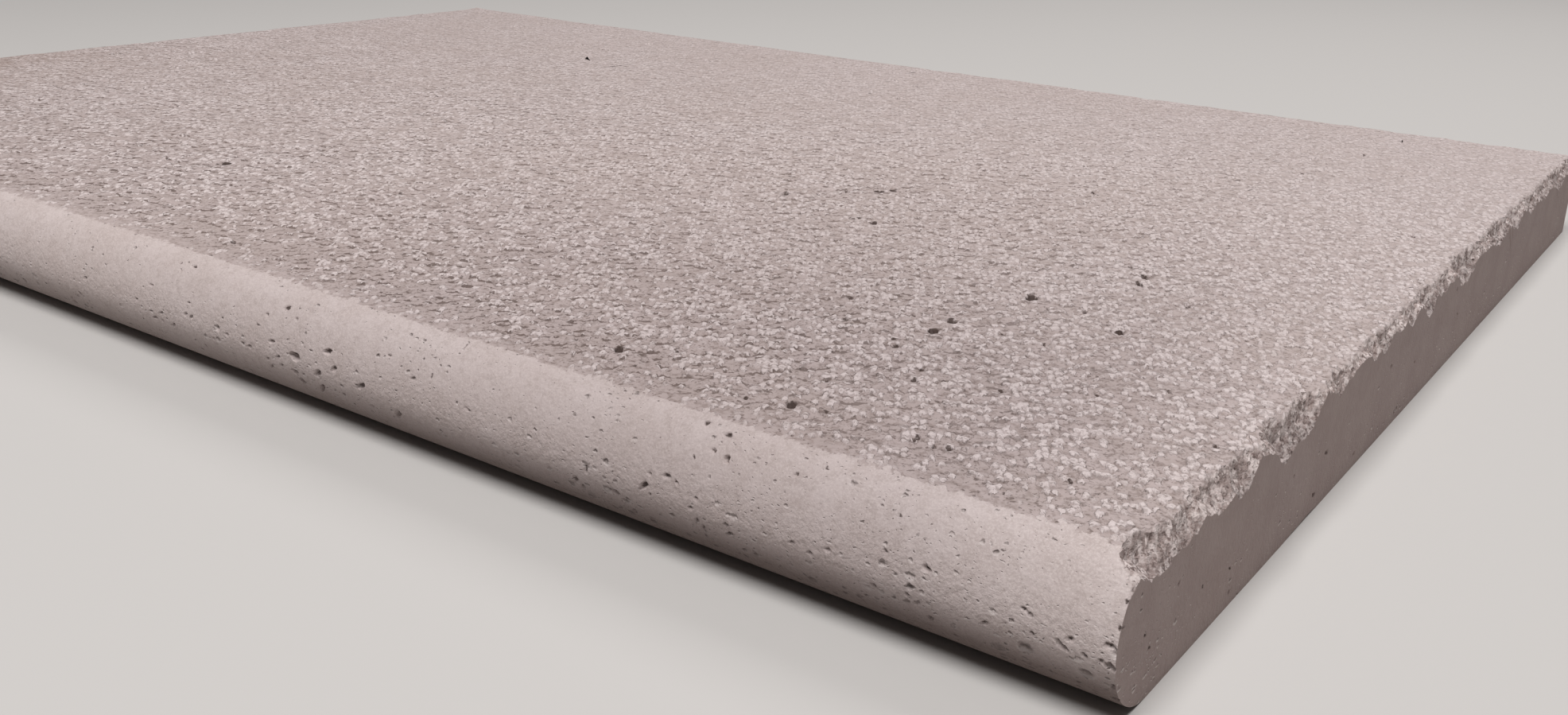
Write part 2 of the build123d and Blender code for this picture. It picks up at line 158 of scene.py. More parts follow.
# ---------------------------------------------------------------- node maths
class Nodes:
    """Writes the same maths into a shader tree or a geometry tree."""

    def __init__(self, tree):
        self.tree = tree

    def put(self, socket, value):
        if isinstance(value, bpy.types.NodeSocket):
            self.tree.links.new(value, socket)
        else:
            socket.default_value = value

    def new(self, kind, **props):
        node = self.tree.nodes.new(kind)
        for k, v in props.items():
            setattr(node, k, v)
        return node

    def math(self, op, a, b=0.0, c=0.0, clamp=False):
        n = self.new("ShaderNodeMath", operation=op, use_clamp=clamp)
        for s, v in zip(n.inputs, (a, b, c)):
            self.put(s, v)
        return n.outputs[0]

    def add(self, a, b):
        return self.math("ADD", a, b)

    def sub(self, a, b):
        return self.math("SUBTRACT", a, b)

    def mul(self, a, b):
        return self.math("MULTIPLY", a, b)

    def step(self, v, lo, hi, out0=0.0, out1=1.0):
        n = self.new("ShaderNodeMapRange", interpolation_type="SMOOTHSTEP", clamp=True)
        for name, value in (("Value", v), ("From Min", lo), ("From Max", hi), ("To Min", out0), ("To Max", out1)):
            self.put(n.inputs[name], value)
        return n.outputs[0]

    def line(self, v, lo, hi, out0=0.0, out1=1.0):
        n = self.new("ShaderNodeMapRange", interpolation_type="LINEAR", clamp=True)
        for name, value in (("Value", v), ("From Min", lo), ("From Max", hi), ("To Min", out0), ("To Max", out1)):
            self.put(n.inputs[name], value)
        return n.outputs[0]

    def vec(self, op, a, b=(0, 0, 0), scale=None):
        n = self.new("ShaderNodeVectorMath", operation=op)
        self.put(n.inputs[0], a)
        if op == "SCALE":
            self.put(n.inputs["Scale"], scale)
        else:
            self.put(n.inputs[1], b)
        return n.outputs["Value"] if op in ("DOT_PRODUCT", "LENGTH", "DISTANCE") else n.outputs[0]

    def xyz(self, v):
        n = self.new("ShaderNodeSeparateXYZ")
        self.put(n.inputs[0], v)
        return n.outputs

    def join(self, x, y, z):
        n = self.new("ShaderNodeCombineXYZ")
        for s, v in zip(n.inputs, (x, y, z)):
            self.put(s, v)
        return n.outputs[0]

    def noise(self, v, scale, detail=2.0, rough=0.5, dims="3D", distort=0.0, colour=False):
        n = self.new("ShaderNodeTexNoise", noise_dimensions=dims)
        self.put(n.inputs["Vector"], v)
        n.inputs["Scale"].default_value = scale
        n.inputs["Detail"].default_value = detail
        n.inputs["Roughness"].default_value = rough
        n.inputs["Distortion"].default_value = distort
        return n.outputs["Color"] if colour else n.outputs[0]

    def cells(self, v, scale, feature="F1", dims="2D", smooth=0.3, random=1.0):
        n = self.new("ShaderNodeTexVoronoi", voronoi_dimensions=dims, feature=feature)
        self.put(n.inputs["Vector"], v)
        n.inputs["Scale"].default_value = scale
        n.inputs["Randomness"].default_value = random
        if feature == "SMOOTH_F1":
            n.inputs["Smoothness"].default_value = smooth
        return n.outputs["Distance"], (n.outputs["Color"] if feature != "DISTANCE_TO_EDGE" else None)


def tooled(x, y):
    """Coordinates across and along the tooling of the top; flakes and pits are longer along it."""
    return x * TOOL[1] - y * TOOL[0], (x * TOOL[0] + y * TOOL[1]) / LONG


def hammered(n, p):
    """Height in mm (0 at the old top plane, negative below), flake mask and crease mask of the hammered top; the crease
    mask also marks where the material paints shade in creases and along ledges.
    """
    s = n.xyz(p)
    across = n.sub(n.mul(s[0], TOOL[1]), n.mul(s[1], TOOL[0]))
    along = n.mul(n.add(n.mul(s[0], TOOL[0]), n.mul(s[1], TOOL[1])), 1.0 / LONG)
    flat = n.join(across, along, 0.0)
    wob = n.vec("SUBTRACT", n.noise(flat, 0.8, 2.0, 0.5, "2D", colour=True), (0.5, 0.5, 0.5))
    warped = n.vec("ADD", flat, n.vec("SCALE", wob, scale=1.3))
    dist, tint = n.cells(warped, 0.61, "SMOOTH_F1", "2D", 0.20)
    pick = n.xyz(tint)[0]
    rim = n.cells(warped, 0.61, "DISTANCE_TO_EDGE", "2D")[0]
    broad = n.noise(flat, 0.07, 3.0, 0.6, "2D")
    front = n.mul(n.step(s[1], -158.0, -184.0), n.line(s[0], 304.0, 286.0))
    bare = n.add(n.step(broad, 0.36, 0.66, 0.14, 0.44), n.mul(front, 0.28))   # share of flakes missing
    bare = n.mul(bare, n.line(s[0], 150.0, 290.0, 1.0, 0.62))
    keep = n.step(n.sub(pick, bare), 0.02, 0.42)
    round_ = n.step(dist, 0.80, 0.22)
    grain = n.noise(flat, 1.6, 3.0, 0.62, "2D")
    body = n.add(n.mul(round_, keep), n.mul(n.sub(grain, 0.5), 0.7))
    flake = n.step(body, 0.04, 1.02)
    torn = n.noise(flat, 0.33, 2.0, 0.6, "2D")
    crease = n.mul(n.step(rim, 0.15, 0.01), n.step(n.add(torn, n.mul(n.sub(grain, 0.5), 1.1)), 0.48, 0.72))
    crease = n.mul(crease, n.step(s[1], -191.5, -185.0))
    # ledges: short steps that fall towards the nose
    long = n.vec("MULTIPLY", warped, (0.55, 1.0, 1.0))
    here = n.noise(long, 0.44, 2.0, 0.55, "2D")
    ahead = n.noise(n.vec("ADD", long, (0.0, -0.7, 0.0)), 0.44, 2.0, 0.55, "2D")
    ledge = n.mul(n.step(n.sub(here, ahead), 0.09, 0.165), n.step(s[1], -191.5, -185.0))
    ledge = n.mul(ledge, n.line(s[0], 200.0, 285.0, 1.0, 0.40))
    crease = n.math("MAXIMUM", n.mul(crease, 0.55), ledge)
    swell = n.sub(n.noise(flat, 0.20, 3.0, 0.6, "2D"), 0.5)
    h = n.add(-0.78, n.mul(flake, 0.46))
    h = n.add(h, n.mul(swell, 0.50))
    h = n.sub(h, n.mul(crease, 0.22))
    h = n.add(h, n.mul(n.sub(grain, 0.5), 0.14))
    h = n.math("MINIMUM", h, -0.04)
    return h, flake, crease


def unrolled(n, p, end, back):
    """Flat coordinates in mm: along X and round the section, across an end, or along the back."""
    s = n.xyz(p)
    ahead = n.math("MAXIMUM", n.sub(YN, s[1]), 0.0)
    behind = n.math("MAXIMUM", n.sub(s[1], YN), 0.0)
    up = n.sub(s[2], R)
    arc = n.add(n.mul(n.math("ARCTAN2", up, ahead), R), n.mul(n.math("SIGN", up), behind))
    whole = n.sub(n.sub(1.0, end), back)
    q = n.vec("SCALE", n.join(s[0], arc, 0.0), scale=whole)
    q = n.vec("ADD", q, n.vec("SCALE", n.join(n.add(s[1], 900.0), n.add(s[2], 60.0), 0.0), scale=end))
    return n.vec("ADD", q, n.vec("SCALE", n.join(n.add(s[0], 60.0), n.add(s[2], 900.0), 0.0), scale=back))


def small_pits(n, q, share):
    """Depth in mm, dark mask and lip mask of small natural pits; share raises their number. The dark mask is painted
    shade on the upper half of each pit, the lip mask a painted highlight on its lower rim.
    """
    wob = n.vec("SUBTRACT", n.noise(q, 0.9, 2.0, 0.5, "2D", colour=True), (0.5, 0.5, 0.5))
    w = n.vec("ADD", q, n.vec("SCALE", wob, scale=0.9))
    w = n.vec("MULTIPLY", w, (0.72, 1.0, 1.0))
    where = n.noise(q, 0.055, 2.0, 0.6, "2D")
    many = n.add(share, n.step(where, 0.38, 0.64, -0.14, 0.16))
    deep, pit_shade, lip_highlight = 0.0, 0.0, 0.0
    for scale, limit, reach in ((0.25, 0.80, 0.42), (0.48, 0.70, 0.40), (0.95, 0.60, 0.30)):
        spot = n.vec("ADD", w, (17.0 / scale, 5.0 / scale, 0.0))
        cell = n.new("ShaderNodeTexVoronoi", voronoi_dimensions="2D", feature="F1")
        n.put(cell.inputs["Vector"], spot)
        cell.inputs["Scale"].default_value = scale
        c = n.xyz(cell.outputs["Color"])
        size = n.mul(n.math("MAXIMUM", n.sub(n.add(c[0], many), limit), 0.0), reach)
        ratio = n.math("DIVIDE", cell.outputs["Distance"], n.add(size, 0.002))
        up = n.xyz(n.vec("SUBTRACT", spot, cell.outputs["Position"]))[1]
        tilt = n.math("DIVIDE", n.mul(up, scale), n.add(size, 0.002))
        deep = n.add(deep, n.mul(n.step(ratio, 1.05, 0.15), n.mul(size, 0.78 / scale)))
        # painted shade on the upper half of each small pit
        shade = n.mul(n.step(ratio, 1.0, 0.45), n.step(tilt, -0.55, 0.45))
        pit_shade = n.math("MAXIMUM", pit_shade, n.mul(n.mul(shade, n.step(c[1], 0.1, 0.9, 0.30, 1.0)), n.step(size, 0.01, 0.08)))
        # painted highlight on the lower lip of each small pit
        below = n.mul(n.mul(n.step(ratio, 1.5, 0.9), n.step(ratio, 0.25, 0.6)), n.step(tilt, 0.1, -0.7))
        lip_highlight = n.math("MAXIMUM", lip_highlight, n.mul(below, n.step(size, 0.01, 0.08)))
    return deep, pit_shade, lip_highlight


def pit_share(n, p):
    """How pitted the stone is: most low on the nose and towards +X, least on the top."""
    s = n.xyz(p)
    low = n.line(s[2], 24.0, 8.0, 0.0, 0.26)
    right = n.line(s[0], 40.0, 280.0, 0.0, 0.15)
    back = n.line(s[1], YN, YN + 4.0, 0.0, -0.12)
    return n.add(n.add(low, right), back)


# --------------------------------------------------------- relief at points
def sample(points, build, names):
    """Values of a node pattern at many points, as arrays."""
    me = bpy.data.meshes.new("sample")
    me.vertices.add(len(points))
    me.vertices.foreach_set("co", np.ascontiguousarray(points, np.float32).ravel())
    ob = bpy.data.objects.new("sample", me)
    bpy.context.scene.collection.objects.link(ob)
    tree = bpy.data.node_groups.new("sample", "GeometryNodeTree")
    tree.interface.new_socket("Geometry", in_out="INPUT", socket_type="NodeSocketGeometry")
    tree.interface.new_socket("Geometry", in_out="OUTPUT", socket_type="NodeSocketGeometry")
    first = tree.nodes.new("NodeGroupInput")
    last = tree.nodes.new("NodeGroupOutput")
    place = tree.nodes.new("GeometryNodeInputPosition")
    n = Nodes(tree)
    values = build(n, place.outputs[0])
    flow = first.outputs[0]
    for name, value in zip(names, values):
        st = tree.nodes.new("GeometryNodeStoreNamedAttribute")
        st.data_type, st.domain = "FLOAT", "POINT"
        st.inputs["Name"].default_value = name
        tree.links.new(flow, st.inputs["Geometry"])
        tree.links.new(value, st.inputs["Value"])
        flow = st.outputs[0]
    tree.links.new(flow, last.inputs[0])
    mod = ob.modifiers.new("sample", "NODES")
    mod.node_group = tree
    done = ob.evaluated_get(bpy.context.evaluated_depsgraph_get())
    out = []
    for name in names:
        a = np.zeros(len(points), np.float32)
        done.data.attributes[name].data.foreach_get("value", a)
        out.append(a.astype(float))
    bpy.data.objects.remove(ob)
    bpy.data.meshes.remove(me)
    bpy.data.node_groups.remove(tree)
    return out


def graded(a, b, h0, h1):
    """Positions from a to b, spacing h0 at a and h1 at b."""
    span = abs(b - a)
    if abs(h1 - h0) < 1e-6:
        return np.linspace(a, b, int(math.ceil(span / h0)) + 1)
    k = (h1 - h0) / span
    count = int(math.ceil(math.log(h1 / h0) / k))
    t = np.expm1(np.linspace(0, 1, count + 1) * math.log(h1 / h0)) / (h1 / h0 - 1)
    return a + (b - a) * t


def pit_field(u, v, pits, rng_seed, lift=0.0, edge=1.30, fade=0.60):
    """Depth and mask of painted shade at points (u, v) of a list of ragged pits, all in mm.

    lift moves the painted shade towards +v by a share of the pit's width."""
    depth = np.zeros_like(u)
    mask = np.zeros_like(u)
    rng = np.random.default_rng(rng_seed)
    for pu, pv, width, deep, stretch, turn, *pit_shade in pits:
        a = math.radians(turn)
        reach = max(width, 1.2) * stretch * 1.2
        near = np.nonzero((np.abs(u - pu) < reach) & (np.abs(v - pv) < reach))
        if not len(near[0]):
            rng.random(6)
            continue
        du, dv = u[near] - pu, v[near] - pv
        w = rng.random(6)

        def rho_of(dv):
            lu = (du * math.cos(a) + dv * math.sin(a)) / (width / 2 * math.sqrt(stretch))
            lv = (-du * math.sin(a) + dv * math.cos(a)) / (width / 2 / math.sqrt(stretch))
            ang = np.arctan2(lv, lu)
            ragged = 1 + 0.16 * np.sin(2 * ang + 6.3 * w[0]) + 0.12 * np.sin(3 * ang + 6.3 * w[1]) + 0.08 * np.sin(5 * ang + 6.3 * w[2])
            return np.hypot(lu, lv) / ragged

        bowl = np.clip(1 - rho_of(dv) ** 2.4, 0, None) ** 0.75
        depth[near] = np.maximum(depth[near], deep * 0.8 * bowl)
        spread = rho_of(dv - lift * width) * min(1.0, width / 1.2)
        mask[near] = np.maximum(mask[near], np.clip((edge - spread) / fade, 0, 1) * (pit_shade[0] if pit_shade else 0.8))
    return depth, mask


def grown(mask, steps):
    """Grid mask widened by some cells."""
    for _ in range(steps):
        wide = mask.copy()
        wide[1:] |= mask[:-1]
        wide[:-1] |= mask[1:]
        mask = wide.copy()
        mask[:, 1:] |= wide[:, :-1]
        mask[:, :-1] |= wide[:, 1:]
    return mask


def scatter_pits(seed, count, u0, u1, v0, v1, small, large, thin=None):
    """Seeded natural pits for the parts of a face that no photo shows closely."""
    rng = np.random.default_rng(seed)
    out = []
    while len(out) < count:
        u, v, w, s, t, keep = rng.random(6)
        pu, pv = u0 + (u1 - u0) * u, v0 + (v1 - v0) * v
        if thin is not None and keep > thin(pu, pv):
            continue
        width = small + (large - small) * w ** 2.5
        out.append((pu, pv, width, width * 0.8, 1 + 1.2 * s * s, -90 + 180 * t))
    return out


# ------------------------------------------------ top, nose and broken edge
fineness = 1.0
cols = np.concatenate([
    graded(XE, XE - 5.5, 0.26 * fineness, 0.26 * fineness)[:-1],
    graded(XE - 5.5, -XE, 0.42 * fineness, 1.15 * fineness),
])
rows_y = graded(YN, YB, 0.46 * fineness, 1.2 * fineness)[::-1]
theta = np.linspace(0, math.pi, int(math.pi * R / (0.42 * fineness)) + 1)[1:]
n_top, n_nose = len(rows_y), len(theta)
base_y = np.concatenate([rows_y, YN - R * np.sin(theta)])
base_z = np.concatenate([np.full(n_top, THICK), R + R * np.cos(theta)])
nor_y = np.concatenate([np.zeros(n_top), -np.sin(theta)])
nor_z = np.concatenate([np.ones(n_top), np.cos(theta)])
arc = np.concatenate([np.zeros(n_top), theta])

X = np.broadcast_to(cols, (len(base_y), len(cols))).copy()
Y = np.broadcast_to(base_y[:, None], X.shape).copy()
Z = np.broadcast_to(base_z[:, None], X.shape).copy()
NY = np.broadcast_to(nor_y[:, None], X.shape)
NZ = np.broadcast_to(nor_z[:, None], X.shape)
A = np.broadcast_to(arc[:, None], X.shape)

pts = np.stack([X, Y, Z], -1).reshape(-1, 3)
high, = sample(pts, lambda n, p: [hammered(n, p)[0]], ["h"])
rough1, rough2, rough3 = sample(
    pts,
    lambda n, p: [
        n.noise(p, 0.35, 2.0, 0.5),
        n.noise(p, 1.1, 3.0, 0.6),
        n.noise(p, 0.12, 1.0, 0.5),
    ],
    ["r1", "r2", "r3"],
)
high = high.reshape(X.shape)
crack = []
rng = np.random.default_rng(3)
for (x0, y0), (x1, y1) in zip(CRACK, CRACK[1:]):
    (a0, b0), (a1, b1) = tooled(x0, y0), tooled(x1, y1)
    turn = math.degrees(math.atan2(b1 - b0, a1 - a0))
    for k in np.arange(0.0, 1.0, 2.6 / math.hypot(x1 - x0, y1 - y0)):
        jx, jy, w = rng.random(3)
        crack.append((x0 + (x1 - x0) * k + jx - 0.5, y0 + (y1 - y0) * k + jy - 0.5, 0.9 + 0.5 * w, 0.6, 2.2, turn, 0.25 + 0.35 * w))
for pu, pv, width, *_ in TOP_PITS + crack:
    if width < 0.9:
        continue
    c0, c1 = np.searchsorted(-cols, [-(pu + width + 2.5), -(pu - width - 2.5)])
    box = (slice(None), slice(c0, c1))
    a, b = tooled(X[box] - (pu + 0.25), Y[box] - (pv - 0.5))
    away = np.hypot(a, b)
    calm = np.clip(1.0 - (away - width * 0.5 - 0.5) / 1.1, 0, 1)
    high[box] = np.where(high[box] > -0.74, high[box] + (-0.74 - high[box]) * calm, high[box])
rough1, rough2, rough3 = (a.reshape(X.shape) - 0.5 for a in (rough1, rough2, rough3))

on_nose = A > 0
drop = np.where(on_nose & (A < 1.0), THICK - Z, np.where(on_nose, 99.0, 0.0))
textured = high < -drop
Z = np.where(textured, THICK + high, Z)

# pits: on the top they go straight down, on the nose towards its axis
top_pits = TOP_PITS + crack + scatter_pits(
    11, 130, -300, 300, -184, 198, 0.8, 2.4,
    lambda x, y: 0.06 if (x > 60 and y < 0) else 1.0,
)
across, along = tooled(X[:n_top], Y[:n_top])
deep_t, mask_t = pit_field(across, along, [(*tooled(x, y), *rest) for x, y, *rest in top_pits], 5, 0.20, 1.18, 0.55)
S = -R * (A[n_top:] - math.pi / 2)               # arc length above mid thickness
nose_pits = [(x, math.radians(a) * R, w, d, s, t) for x, a, w, d, s, t in NOSE_PITS]
nose_pits += scatter_pits(
    23, 130, -303, 303, -20, 16, 0.7, 1.8,
    lambda x, s: (0.08 if x > 0 else 0.9) * (1.0 if s < 2 else 0.35),
)
deep_n, mask_n = pit_field(X[n_top:], S, nose_pits, 7, 0.12, 1.05, 0.50)
deep = np.concatenate([deep_t, deep_n])
pit = np.concatenate([mask_t, mask_n])
hold = grown((pit > 0) | (deep > 0.01), 1)
Y = Y - NY * deep
Z = Z - NZ * deep

# broken edge: a steep wall below the rim, then a ledge that slopes out to the end face
ys = CHIPS[:, 0]
dz = np.interp(Y, ys, CHIPS[:, 1])
dx = np.interp(Y, ys, CHIPS[:, 2])
hollow = np.interp(Y, ys, CHIPS[:, 3])
t = XE - X
u = (t + 1.6 * rough1 + 0.4 * rough2) / dx
bend_u = 0.60 + 0.24 * hollow
bend_m = 0.44 + 0.20 * hollow
share = np.where(u < bend_u, 1 - (1 - bend_m) * u / bend_u, bend_m * (1 - u) / (1 - bend_u))
bite = 1.7 * rough1 + 1.9 * rough2 + 1.2 * rough3
chip_z = THICK - dz * share + bite * np.clip(1.25 - np.abs(u - 0.4), 0, 1)
chip_z = np.where(t < 8, np.maximum(chip_z, 17.5), 99.0)
broken = (chip_z < Z) & (A < 1.45)
chip_mask = np.clip((Z - chip_z) / 0.3, 0, 1) * (A < 1.45) * (t < 8)
Z = np.where(broken, chip_z, Z)
pit = pit * (1 - chip_mask)

# upright flutes and grains on the broken face push it in and out along X
wall = np.argwhere(chip_mask > 0)
wall_pts = np.stack([X[tuple(wall.T)], Y[tuple(wall.T)], Z[tuple(wall.T)]], -1)
flute, lump = sample(
    wall_pts,
    lambda n, p: [
        n.noise(n.vec("MULTIPLY", p, (0.4, 1.0, 0.22)), 0.75, 2.0, 0.6),
        n.noise(p, 0.9, 3.0, 0.6),
    ],
    ["f", "l"],
)
shift = (1.5 * (flute - 0.5) + 2.4 * (lump - 0.5)) * chip_mask[tuple(wall.T)] * np.clip(t[tuple(wall.T)] / 0.9, 0, 1)
X[tuple(wall.T)] = np.minimum(X[tuple(wall.T)] + shift, XE)

nr, nc = X.shape
P = np.stack([X, Y, Z], -1).reshape(-1, 3)
index = np.arange(nr * nc).reshape(nr, nc)
quads = np.stack([index[:-1, :-1], index[:-1, 1:], index[1:, 1:], index[1:, :-1]], -1).reshape(-1, 4)

verts = [P]
attrs = [np.stack([pit.ravel(), chip_mask.ravel(), hold.ravel()], 1)]
count = nr * nc
tris = []
tri_kind = []


def add_points(p, pits=None, kept=None):
    """New vertices; returns their numbers."""
    global count
    p = np.asarray(p, float).reshape(-1, 3)
    none = np.zeros(len(p))
    verts.append(p)
    attrs.append(np.stack([none if pits is None else pits, none, none if kept is None else kept], 1))
    out = np.arange(count, count + len(p))
    count += len(p)
    return out


def inside(poly, pts):
    """Which points lie inside a polygon."""
    x, y = pts[:, 0], pts[:, 1]
    ok = np.zeros(len(pts), bool)
    px, py = poly[:, 0], poly[:, 1]
    qx, qy = np.roll(px, -1), np.roll(py, -1)
    for a, b, c, d in zip(px, py, qx, qy):
        if b == d:
            continue
        cross = ((b > y) != (d > y)) & (x < (c - a) * (y - b) / (d - b) + a)
        ok ^= cross
    return ok


def fill(loop, flat, inner_flat, inner_ids, turn, kind):
    """Triangles inside a closed loop of vertices, through the inner points."""
    pts2 = [Vector((float(a), float(b))) for a, b in np.concatenate([flat, inner_flat])]
    n = len(loop)
    edges = [(i, (i + 1) % n) for i in range(n)]
    out = delaunay_2d_cdt(pts2, edges, [], 1, 1e-7, True)
    ids = np.concatenate([loop, inner_ids])
    where = [o[0] for o in out[3]]
    same = np.array([ids[w] for w in where])
    middle = np.array([[sum(out[0][i][k] for i in f) / 3 for k in (0, 1)] for f in out[2]])
    within = inside(np.asarray(flat, float), middle)
    for f, ok in zip(out[2], within):
        if not ok:
            continue
        a, b, c = f
        pa, pb, pc = out[0][a], out[0][b], out[0][c]
        area = (pb[0] - pa[0]) * (pc[1] - pa[1]) - (pb[1] - pa[1]) * (pc[0] - pa[0])
        tri = (same[a], same[b], same[c])
        if (area > 0) != turn:
            tri = tri[::-1]
        tris.append(tri)
        tri_kind.append(kind)


def clear_of(poly, pts, gap):
    """Which points keep a gap to the polygon's corners."""
    ok = np.ones(len(pts), bool)
    for s in range(0, len(pts), 400):
        block = pts[s:s + 400]
        d = ((block[:, None, :] - poly[None]) ** 2).sum(-1).min(1)
        ok[s:s + 400] = d > gap * gap
    return ok


# corner edges, coarse
back_right_top, back_left_top = index[0, 0], index[0, -1]
nose_right_low, nose_left_low = index[-1, 0], index[-1, -1]
zr, zl = P[back_right_top][2], P[back_left_top][2]
er = add_points([(XE, YB, z) for z in np.linspace(zr, 0, 12)[1:]])       # back right edge, downwards
el = add_points([(-XE, YB, z) for z in np.linspace(zl, 0, 12)[1:]])
by = graded(YN, YB, 2.0, 8.0)[1:-1]
br = add_points([(XE, y, 0) for y in by])                                 # underside, right edge, nose to back
bl = add_points([(-XE, y, 0) for y in by])
bx = np.linspace(XE, -XE, 62)[1:-1]
bb = add_points([(x, YB, 0) for x in bx])                                 # underside, back edge


def end_cap(col, low, up, side, pits, seed, kind):
    loop = np.concatenate([index[:, col], low, up[::-1]])
    allp = np.concatenate(verts)
    flat = allp[loop][:, 1:]
    gy = graded(YF, YB, 1.5, 3.0) if side > 0 else np.arange(YF, YB, 3.2)
    gz = np.arange(1.2, THICK, 1.7 if side > 0 else 2.6)
    rng = np.random.default_rng(seed)
    g = np.stack(np.meshgrid(gy, gz), -1).reshape(-1, 2)
    g += rng.uniform(-0.35, 0.35, g.shape)
    extra = [g]
    for pu, pv, w, d, s, t in pits:
        r = w * s * 0.8 + 0.4
        k = np.arange(-r, r + 0.01, 0.28 if side > 0 else 0.5)
        e = np.stack(np.meshgrid(pu + k, pv + k), -1).reshape(-1, 2)
        extra.append(e + rng.uniform(-0.03, 0.03, e.shape))
    base = extra[0]
    for e, (pu, pv, w, d, s, t) in zip(extra[1:], pits):
        r = w * s * 0.8 + 0.7
        base = base[(np.abs(base[:, 0] - pu) > r) | (np.abs(base[:, 1] - pv) > r)]
    g = np.concatenate([base] + extra[1:])
    kept = np.arange(len(g)) >= len(base)
    ok = inside(flat, g)
    g, kept = g[ok], kept[ok]
    ok = clear_of(flat, g, 0.25)
    g, kept = g[ok], kept[ok]
    deep, mask = pit_field(g[:, 0], g[:, 1], pits, seed + 1, 0.06, 1.10, 0.50)
    ids = add_points(np.stack([side * (XE - deep), g[:, 0], g[:, 1]], 1), mask, kept)
    fill(loop, flat, g, ids, side > 0, kind)


end_cap(0, br, np.concatenate([er]), 1, END_PITS, 31, 1)
left_pits = scatter_pits(41, 26, -190, 198, 3, 26, 0.8, 2.4)
end_cap(-1, bl, np.concatenate([el]), -1, left_pits, 43, 1)

# back face
allp = np.concatenate(verts)
loop = np.concatenate([index[0, :], el, bb[::-1], er[::-1]])
flat = allp[loop][:, [0, 2]]
back_pits = scatter_pits(51, 34, -298, 298, 3, 26, 0.9, 2.8)
rng = np.random.default_rng(53)
g = np.stack(np.meshgrid(np.arange(-302, 303, 5.0), np.arange(3, 28, 4.2)), -1).reshape(-1, 2)
g = g + rng.uniform(-0.8, 0.8, g.shape)
extra = []
for pu, pv, w, d, s, t in back_pits:
    r = w * s * 0.8 + 0.6
    g = g[(np.abs(g[:, 0] - pu) > r + 0.3) | (np.abs(g[:, 1] - pv) > r + 0.3)]
    k = np.arange(-r, r + 0.01, 0.6)
    e = np.stack(np.meshgrid(pu + k, pv + k), -1).reshape(-1, 2)
    extra.append(e + rng.uniform(-0.04, 0.04, e.shape))
kept = np.arange(len(g) + sum(map(len, extra))) >= len(g)
g = np.concatenate([g] + extra)
ok = inside(flat, g)
g, kept = g[ok], kept[ok]
ok = clear_of(flat, g, 0.3)
g, kept = g[ok], kept[ok]
deep, mask = pit_field(g[:, 0], g[:, 1], back_pits, 55, 0.0, 1.10, 0.50)
ids = add_points(np.stack([g[:, 0], YB - deep, g[:, 1]], 1), mask, kept)
fill(loop, flat, g, ids, False, 2)

# underside
allp = np.concatenate(verts)
loop = np.concatenate([index[-1, :], bl, el[-1:], bb[::-1], er[-1:], br[::-1]])
flat = allp[loop][:, :2]
g = np.stack(np.meshgrid(np.arange(-296, 297, 14.0), np.arange(-180, 198, 14.0)), -1).reshape(-1, 2)
g = g[inside(flat, g)]
ids = add_points(np.stack([g[:, 0], g[:, 1], np.zeros(len(g))], 1))
fill(loop, flat, g, ids, False, 3)

allp = np.concatenate(verts)
alla = np.concatenate(attrs)
tris = np.array(tris, np.int64)

# ------------------------------------------------------------ one closed mesh
me = bpy.data.meshes.new("travertine_slab")
me.vertices.add(len(allp))
me.vertices.foreach_set("co", (allp * MM).astype(np.float32).ravel())
nq, nt = len(quads), len(tris)
me.loops.add(nq * 4 + nt * 3)
me.loops.foreach_set("vertex_index", np.concatenate([quads.ravel(), tris.ravel()]).astype(np.int32))
me.polygons.add(nq + nt)
starts = np.concatenate([np.arange(0, nq * 4, 4), nq * 4 + np.arange(0, nt * 3, 3)])
me.polygons.foreach_set("loop_start", starts.astype(np.int32))
kinds = np.concatenate([np.zeros(nq, np.int32), np.array(tri_kind, np.int32)])
for name in ("a", "b", "c", "d"):
    me.materials.append(bpy.data.materials.new(name))
me.polygons.foreach_set("material_index", kinds)
me.update(calc_edges=True)
for k, name in enumerate(("pit", "chip")):
    at = me.attributes.new(name, "FLOAT", "POINT")
    at.data.foreach_set("value", alla[:, k].astype(np.float32))

slab = bpy.data.objects.new("travertine_slab", me)
bpy.context.scene.collection.objects.link(slab)
full = nq * 2 + nt
near = np.hypot(allp[:, 0] - 380, allp[:, 1] + 390)
weight = np.clip((near - 180) / 500, 0.12, 1.0)
weight = np.where(alla[:, 1] > 0.05, np.minimum(weight, 0.22), weight)
weight[nr * nc:] = 0.8
weight = np.where(alla[:, 2] > 0.5, 0.0, weight)
lattice = np.zeros((nr, nc), bool)
pick_col = np.unique([np.abs(cols - x).argmin() for x in np.arange(-303, 304, 5.0)])
lattice[np.ix_(np.arange(n_top + 8, nr - 1, 2), pick_col)] = True
weight[:nr * nc] = np.where(lattice.ravel(), 0.0, weight[:nr * nc])
group = slab.vertex_groups.new(name="thin")
levels = np.round(weight * 20).astype(int)
for level in np.unique(levels):
    group.add(np.nonzero(levels == level)[0].tolist(), level / 20, "REPLACE")
want = TRIS
if full > want:
    thin = slab.modifiers.new("thin", "DECIMATE")
    thin.decimate_type = "COLLAPSE"
    thin.ratio = want / full
    thin.use_collapse_triangulate = True
    thin.vertex_group = "thin"
    thin.vertex_group_factor = 1.0
    done = slab.evaluated_get(bpy.context.evaluated_depsgraph_get())
    final = bpy.data.meshes.new_from_object(done)
    slab.modifiers.clear()
    slab.data = final
    bpy.data.meshes.remove(me)
    me = final
slab.vertex_groups.clear()
me.name = "travertine_slab"

